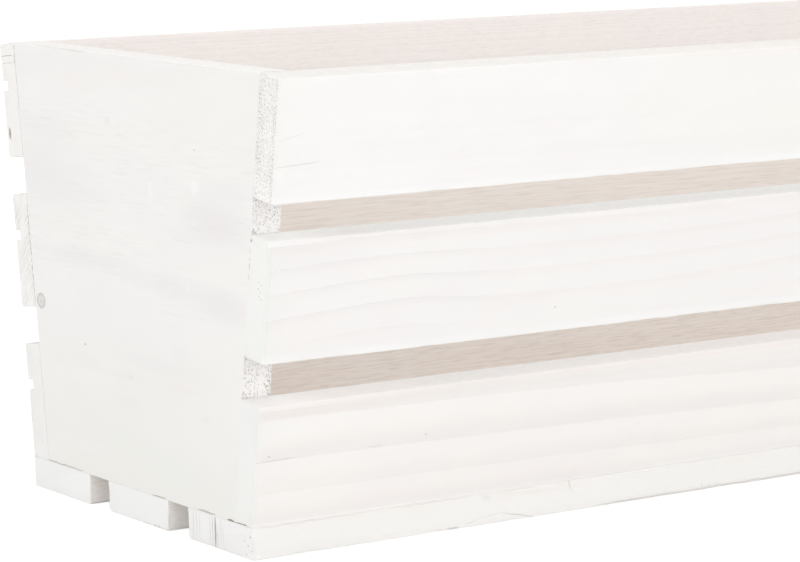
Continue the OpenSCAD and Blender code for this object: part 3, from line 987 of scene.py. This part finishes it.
def faceFinish(board, look):
    # Planed faces: the wash lies thick outside, and thin on the side that faces the soil
    material, tree, shader, local = startFinish(board["name"] + "_wash", board)
    spot = splitVector(tree, local)
    x, y, z = spot["X"], spot["Y"], spot["Z"]
    halfLength, halfThick, halfWidth = (side / 2 for side in board["size"])
    sides = washLook["zones"]
    edge = nearSide(tree, calc(tree, "ABSOLUTE", z), halfWidth, sides["edge"])
    inner = times(tree, nearSide(tree, y, halfThick, sides["inner"]), minus(tree, 1.0, edge))
    grain = figure(tree, look, local, knotBulge(tree, look, x, z))
    low, high, top = (height * mm for height in look["fade"])
    figured = times(tree, smoothStep(tree, z, low, high),
                    smoothStep(tree, z, top, top + washLook["topFadeRun"], *washLook["topFade"]))
    shown = largest(tree, figured, inner)
    zones = {
        "x": x, "y": y, "z": z, "halfLength": halfLength, "halfWidth": halfWidth, "edge": edge, "inner": inner,
        "outer": smoothStep(tree, y, 0.0, washLook["outerDepth"], 1.0, 0.0),
        "front": nearSide(tree, z, halfWidth, sides["front"]),
        "figured": figured, "shown": shown, "late": times(tree, grain["Late"], shown)}
    seeded = vectorCalc(tree, "ADD", local, (look["seed"], look["seed"] * 0.5, 0))
    patterns = {name: washPattern(tree, seeded, name) for name in ("cloud", "hue", "brush")}

    cover, dashes = washCover(tree, look, grain, zones, seeded, patterns)
    colour = washColour(tree, look, zones, seeded, patterns, cover)
    if "slat" in board["name"]:
        colour = drawCorner(tree, look, zones, seeded, colour)
    colour = drawStainsAndPaintedLight(tree, look, zones, patterns["cloud"], colour)
    cracksAndPaintedShade = faceCracksAndPaintedShade(tree, look, zones, seeded)
    colour = tint(tree, times(tree, cracksAndPaintedShade, washLook["lineShade"]), colour, woodColours["shadow"])
    colour, knots = drawKnots(tree, look, x, z, zones["outer"], seeded, colour)
    feed(tree, shader.inputs["Base Color"], colour)
    bareRough, washRough = washLook["roughness"]
    feed(tree, shader.inputs["Roughness"], plus(tree, bareRough, times(tree, cover, washRough)))

    heights = washLook["relief"]
    relief = times(tree, zones["late"], min(heights["late"], look["lateThin"]))
    for name in ("Fibre", "Streak"):
        relief = plus(tree, relief, times(tree, grain[name], heights[name]))
    dents = plus(tree, times(tree, plus(tree, cracksAndPaintedShade, knots), heights["cracksAndPaintedShade"]),
                 times(tree, dashes, heights["dashes"]))
    addBump(tree, shader, minus(tree, relief, dents))
    return material


# Pores, rings, splits and painted seam shadows of the sawn ends
sawnLook = {
    "slant": 0.35,
    "patterns": {
        "pores": ((300, 2100, 950), 1.0),
        "columns": ((20, 800, 70), 1.0),
        "patches": ((20, 110, 75), 2.0),
        "wander": ((0, 420, 0), 2.0),
        "gaps": ((0, 0, 380), 2.0),
    },
    "steps": {
        "holes": (0.61, 0.66),
        "rings": (0.42, 0.58, 0.15, 1.0),
        "cool": (0.3, 0.7),
        "rosy": (-8 * mm, 12 * mm),
        "gaps": (0.42, 0.55),
    },
    "swings": {"patches": 0.12, "columns": 0.06},
    "faceSide": (6 * mm, 1 * mm),
    "faceMore": 0.05,  # more pores are open towards the faces
    "poreShade": 0.75,
    "ringShade": 0.4,
    "coolShare": 0.5,
    "wander": 0.5 * mm,
    "splitAndSeamShade": 0.75,
    "pocketShade": 0.7,
    "roughness": (0.82, 0.1),
    "relief": {"pores": 0.08, "dips": 0.3},
}


def sawnFinish(board, look):
    # Sawn ends drink the wash: rings, pores and splits still show where it soaked in
    patterns, steps, swings = (sawnLook[name] for name in ("patterns", "steps", "swings"))
    material, tree, shader, local = startFinish(board["name"] + "_sawn", board)
    spot = splitVector(tree, local)
    x, y, z = spot["X"], spot["Y"], spot["Z"]
    grain = figure(tree, look, local)
    seeded = vectorCalc(tree, "ADD", local, (look["seed"], 0, look["seed"] * 0.5))
    slant = joinVector(tree, 0.0, times(tree, z, sawnLook["slant"]), 0.0)
    pores = noise(tree, vectorCalc(tree, "ADD", seeded, slant), *patterns["pores"])
    columns, patches = (noise(tree, seeded, *patterns[name]) for name in ("columns", "patches"))
    edge = nearSide(tree, calc(tree, "ABSOLUTE", y), board["size"].y / 2, sawnLook["faceSide"])
    edge = times(tree, edge, sawnLook["faceMore"])
    uneven = plus(tree, centred(tree, patches, swings["patches"]), centred(tree, columns, swings["columns"]))
    holes = smoothStep(tree, plus(tree, plus(tree, pores, edge), uneven), *steps["holes"])
    shade = times(tree, holes, look["open"], sawnLook["poreShade"])
    shown = smoothStep(tree, patches, *steps["rings"])
    lines = times(tree, grain["Line"], shown, sawnLook["ringShade"] * look["ringShow"])
    cool = times(tree, smoothStep(tree, patches, *steps["cool"]), sawnLook["coolShare"])
    rosy = times(tree, smoothStep(tree, z, *steps["rosy"]), look["endTint"])
    colour = tint(tree, cool, toned("washEnd", look["endTone"]), toned("washCool", look["endTone"]))
    colour = tint(tree, rosy, colour, toned("washRosy", look["endTone"]))
    colour = tint(tree, lines, colour, woodColours["late"])
    colour = tint(tree, shade, colour, woodColours["pore"])

    # Splits, seams and resin pockets belong to the end that the photograph shows
    thisEnd = calc(tree, "LESS_THAN" if board["turn"].z == 0 else "GREATER_THAN", x, 0.0)
    wobble = times(tree, centred(tree, noise(tree, seeded, *patterns["wander"]), 1.0), sawnLook["wander"])
    gaps = smoothStep(tree, noise(tree, seeded, *patterns["gaps"]), *steps["gaps"])
    splitsAndSeamShadows = [thinLineMask(tree, y, z, wobble, line) for line in look["endLines"]]
    # Seam lines are painted shadow in the joint where the end meets the board beside it
    splitsAndSeamShadows += [times(tree, thinLineMask(tree, z, y, 0.0, line), gaps) for line in look["endSeamShadows"]]
    splitsAndSeamShadows = times(tree, largest(tree, 0.0, *splitsAndSeamShadows), thisEnd)
    pockets = [spotMask(tree, z, y, (z0, y0, radius, stretch)) for y0, z0, radius, stretch in look["endSpots"]]
    pockets = times(tree, largest(tree, 0.0, *pockets), thisEnd)
    colour = tint(tree, times(tree, splitsAndSeamShadows, sawnLook["splitAndSeamShade"]), colour, woodColours["shadow"])
    colour = tint(tree, times(tree, pockets, sawnLook["pocketShade"]), colour, woodColours["resin"])
    feed(tree, shader.inputs["Base Color"], colour)
    bareRough, holeRough = sawnLook["roughness"]
    feed(tree, shader.inputs["Roughness"], plus(tree, bareRough, times(tree, holes, holeRough)))
    dips = times(tree, plus(tree, lines, shade, splitsAndSeamShadows), sawnLook["relief"]["dips"])
    addBump(tree, shader, minus(tree, times(tree, pores, sawnLook["relief"]["pores"]), dips))
    return material


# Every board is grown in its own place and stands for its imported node
plankTree = buildPlankTree()
stationGap = 3.2 * mm
bevelledBoards = ("front_slat_low", "back_slat_low")
seatedBoards = bevelledBoards + ("end_board_left", "end_board_right")
for name, board in boards.items():
    kind = next(kind for kind in kindUsual if name.startswith(kind))
    look = {**boardUsual, **kindUsual[kind], **boardLooks[name]}
    length, thickness, width = board["size"]
    drop = thickness * math.tan(wallLean) if name in bevelledBoards else 0.0
    arrises = [radius * mm for radius in look["arrises"]]
    outline = sectionOutline(thickness, width, arrises, look["spacing"] * mm, drop, kind == "back_slat")
    section = sectionCurve(name + "_section", outline)
    piece = growPiece(name + "_dressed", plankTree, {
        "Section": section, "Length": length, "Thickness": thickness, "Width": width,
        "Foot Share": board["footShare"], "Ease": look["ease"] * mm, "Wave": look["wave"] * mm,
        "Wear": look["wear"] * mm, "End Wear": look["endWear"] * mm, "Wane": look["wane"] * mm,
        "Wane Height": look["waneHeight"] * mm, "Wane Start": look["waneStart"] * mm,
        "Seated": float(name in seatedBoards), "Seed": look["seed"], "Stations": round(length / stationGap),
        "Face Finish": faceFinish(board, look), "End Finish": sawnFinish(board, look)})
    bpy.data.objects.remove(section)
    piece.data.transform(boardPlace(board))
    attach(piece, "root")
    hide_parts(name)
    print("board", piece.name, len(piece.data.polygons), "faces")


# Geometry Nodes tree for a board's four headless nails, driven through its outer face. Shaft and girth say how
# deep each ring of a nail lies and how thick it is there, as shares of its length and radius.
nailShape = {
    "radius": 0.9 * mm,
    "sides": 16,
    "stations": 16,
    "shaft": [(0.0, 0.0), (0.12, 0.002), (0.3, 0.012), (0.7, 0.914), (1.0, 1.0)],
    "girth": [(0.0, 0.55), (0.12, 0.92), (0.3, 1.0), (0.7, 1.0), (1.0, 0.22)],
}


def buildNailTree():
    tree = bpy.data.node_groups.new("headlessNails", "GeometryNodeTree")
    tree.interface.new_socket(name="Geometry", in_out="OUTPUT", socket_type="NodeSocketGeometry")
    for name, value in (("Span", 0.787), ("Row Gap", 0.03), ("Radius", 0.0009), ("Length", 0.035)):
        addInput(tree, name, "NodeSocketFloat", value)
    addInput(tree, "Finish", "NodeSocketMaterial")
    given = addNode(tree, "NodeGroupInput").outputs
    stations = nailShape["stations"]
    shaft = geometry(tree, "CurvePrimitiveLine", {"End": (0.0, 1.0, 0.0)})
    shaft = geometry(tree, "ResampleCurve", {"Curve": shaft, "Count": stations})
    share = over(tree, geometry(tree, "InputIndex"), stations - 1.0)
    deep = times(tree, given["Length"], shapeCurve(tree, share, nailShape["shaft"]))
    shaft = geometry(tree, "SetPosition", {"Geometry": shaft, "Position": joinVector(tree, 0.0, deep, 0.0)})
    ring = geometry(tree, "CurvePrimitiveCircle", {"Resolution": nailShape["sides"], "Radius": given["Radius"]})
    nail = geometry(tree, "CurveToMesh", {
        "Curve": shaft, "Profile Curve": ring, "Fill Caps": True,
        "Scale": shapeCurve(tree, share, nailShape["girth"])})
    places = geometry(tree, "MeshGrid", {
        "Size X": given["Span"], "Size Y": given["Row Gap"], "Vertices X": 2, "Vertices Y": 2})
    places = geometry(tree, "Transform", {"Geometry": places, "Rotation": (math.pi / 2, 0.0, 0.0)})
    nails = geometry(tree, "InstanceOnPoints", {"Points": places, "Instance": nail})
    nails = geometry(tree, "RealizeInstances", {"Geometry": nails})
    nails = geometry(tree, "SetMaterial", {"Geometry": nails, "Material": given["Finish"]})
    addNode(tree, "NodeGroupOutput", inputs={"Geometry": nails})
    return tree


nailLook = {
    "painted": 0.5 * mm,
    "worn": {"front": 0.05, "back": 0.2, "bottom": 0.4},
    "wear": ((1900, 1900, 1900), 2.0),
    "wearLevels": (0.50, 0.70),
    "steel": (0.30, 0.29, 0.28),
    "paint": (0.93, 0.915, 0.895),
    "metallic": 0.9,
    "roughness": (0.4, 0.35),  # of steel, and what paint adds
}


def nailFinish(name, board):
    # Bright steel down in the wood, and the wash brushed over the top of it
    material, tree, shader, local = startFinish(name, board)
    painted, metallic = nailLook["painted"], nailLook["metallic"]
    side = name.split("_")[0]
    depth = plus(tree, splitVector(tree, local)["Y"], board["size"].y / 2)
    coated = smoothStep(tree, depth, painted / 2, painted, 1.0, 0.0)
    worn = noise(tree, local, *nailLook["wear"])
    worn = smoothStep(tree, worn, *nailLook["wearLevels"], 0.0, nailLook["worn"][side])
    coated = times(tree, coated, minus(tree, 1.0, worn))
    steelRough, paintRough = nailLook["roughness"]
    feed(tree, shader.inputs["Base Color"], tint(tree, coated, nailLook["steel"], nailLook["paint"]))
    feed(tree, shader.inputs["Metallic"], minus(tree, metallic, times(tree, coated, metallic)))
    feed(tree, shader.inputs["Roughness"], plus(tree, steelRough, times(tree, coated, paintRough)))
    return material


nailTree = buildNailTree()
for name in (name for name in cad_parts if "nails" in name):
    board = boards[name.replace("nails", "slat")]
    back = board["turn"].to_matrix().inverted()
    corners = [back @ (vertex.co - board["centre"]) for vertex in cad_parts[name].data.vertices]
    low, high = (Vector([pick(corner[axis] for corner in corners) for axis in range(3)]) for pick in (min, max))
    radius = nailShape["radius"]
    nails = growPiece(name + "_dressed", nailTree, {
        "Span": high.x - low.x - 2 * radius, "Row Gap": high.z - low.z - 2 * radius, "Radius": radius,
        "Length": high.y - low.y, "Finish": nailFinish(name + "_steel", board)})
    nails.data.transform(Matrix.Translation((0, low.y, (low.z + high.z) / 2)))
    nails.data.transform(boardPlace(board))
    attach(nails, "root")
    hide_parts(name)
    print("nails", nails.name, len(nails.data.polygons), "faces")


# Pale floor, soft light and the camera
stageLook = {
    "floorSize": 9.0,
    "holeInset": 2 * mm,
    "floorColour": (0.80, 0.80, 0.80),
    "seenGlow": 0.84,
    "seenColour": (0.32, 0.32, 0.32),
    "white": (1.0, 1.0, 1.0, 1.0),
    "worldStrength": 0.70,
    "lamps": {
        # place, aim, size and power in watts
        "keyFront": ((-0.95, -3.1, 0.95), (0.0, 0.0, 0.1), 2.0, 22.5),
        "topFront": ((0.3, -1.6, 2.2), (0.0, 0.0, 0.1), 1.5, 9.0),
        "topBack": ((0.2, 0.9, 2.4), (0.0, 0.0, 0.1), 2.0, 10.0),
        "fillLeft": ((-2.7, -0.1, 1.0), (-0.3, 0.0, 0.1), 1.4, 12.2),
    },
}


def seenDirectly(tree):
    # Rays that show the backdrop: the camera's, and those in gloss and glass
    path = addNode(tree, "ShaderNodeLightPath").outputs
    return largest(tree, *(path[ray] for ray in ("Is Camera Ray", "Is Glossy Ray", "Is Transmission Ray")))


def floorMesh():
    # Right under the bottom slats the floor is left out, so that light reaches their undersides
    size, inset = stageLook["floorSize"] / 2, stageLook["holeInset"]
    holes = sorted((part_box(name) for name in boards if name.startswith("bottom_slat")),
                   key=lambda hole: hole[0].y)
    patches, reached = [], -size
    for low, high in holes:
        start, end = low.y + inset, high.y - inset
        patches += [(-size, size, reached, start), (-size, low.x + inset, start, end),
                    (high.x - inset, size, start, end)]
        reached = end
    patches.append((-size, size, reached, size))
    spots = [(x, y, 0.0) for x0, x1, y0, y1 in patches for x, y in ((x0, y0), (x1, y0), (x1, y1), (x0, y1))]
    mesh = bpy.data.meshes.new("floor")
    mesh.from_pydata(spots, [], [tuple(range(4 * index, 4 * index + 4)) for index in range(len(patches))])
    return mesh


def buildFloor():
    mesh = floorMesh()
    floor = bpy.data.objects.new("floor", mesh)
    bpy.context.scene.collection.objects.link(floor)
    material = bpy.data.materials.new("paleFloor")
    material.use_nodes = True
    tree = material.node_tree
    tree.nodes.clear()
    plain, seen = (addNode(tree, "ShaderNodeBsdfDiffuse", inputs={"Color": (*stageLook[name], 1.0)}).outputs[0]
                   for name in ("floorColour", "seenColour"))
    glow = addNode(tree, "ShaderNodeEmission", inputs={
        "Color": stageLook["white"], "Strength": stageLook["seenGlow"]}).outputs[0]
    seen = addNode(tree, "ShaderNodeAddShader", inputs={0: seen, 1: glow}).outputs[0]
    shown = addNode(tree, "ShaderNodeMixShader", inputs={0: seenDirectly(tree), 1: plain, 2: seen}).outputs[0]
    # From below the floor is clear, so that the bottom slats can be looked at
    clear = addNode(tree, "ShaderNodeBsdfTransparent").outputs[0]
    under = addNode(tree, "ShaderNodeNewGeometry").outputs["Backfacing"]
    shown = addNode(tree, "ShaderNodeMixShader", inputs={0: under, 1: shown, 2: clear}).outputs[0]
    addNode(tree, "ShaderNodeOutputMaterial", inputs={"Surface": shown})
    mesh.materials.append(material)


def buildWorld():
    world = bpy.data.worlds.new("paleRoom")
    world.use_nodes = True
    tree = world.node_tree
    tree.nodes.clear()
    strength = stageLook["worldStrength"]
    level = plus(tree, strength, times(tree, seenDirectly(tree), 1.0 - strength))
    backdrop = addNode(tree, "ShaderNodeBackground", inputs={"Color": stageLook["white"], "Strength": level})
    addNode(tree, "ShaderNodeOutputWorld", inputs={"Surface": backdrop.outputs[0]})
    bpy.context.scene.world = world


def buildLamps():
    for name, (place, aim, size, power) in stageLook["lamps"].items():
        lamp = bpy.data.lights.new(name, "AREA")
        lamp.shape = "SQUARE"
        lamp.size = size
        lamp.energy = power
        made = bpy.data.objects.new(name, lamp)
        bpy.context.scene.collection.objects.link(made)
        made.location = place
        made.rotation_euler = (Vector(aim) - Vector(place)).to_track_quat("-Z", "Y").to_euler()


# Camera worked out from the photograph's edges and corners. Angles are in degrees.
cameraLook = {
    "place": (-1.215516, -1.429578, 0.361710),
    "azimuth": -34.321,
    "down": 8.339,
    "roll": -0.428,
    "focalPixels": 3333.19,
    "imageWidth": 800,
    "sensor": 36.0,
    "nearest": 0.01,
}


def buildCamera():
    data = bpy.data.cameras.new("photoCamera")
    data.sensor_width = cameraLook["sensor"]
    data.lens = cameraLook["focalPixels"] * cameraLook["sensor"] / cameraLook["imageWidth"]
    data.clip_start = cameraLook["nearest"]
    camera = bpy.data.objects.new("photoCamera", data)
    bpy.context.scene.collection.objects.link(camera)
    azimuth, down, roll = (math.radians(cameraLook[key]) for key in ("azimuth", "down", "roll"))
    turn = (Matrix.Rotation(azimuth, 4, "Z") @ Matrix.Rotation(math.pi / 2 - down, 4, "X")
            @ Matrix.Rotation(roll, 4, "Z"))
    camera.matrix_world = Matrix.Translation(cameraLook["place"]) @ turn
    bpy.context.scene.camera = camera


buildFloor()
buildWorld()
buildLamps()
buildCamera()
bpy.context.scene.view_settings.view_transform = "Standard"
print("stage, lamps and camera are ready")

bpy.context.view_layer.update()
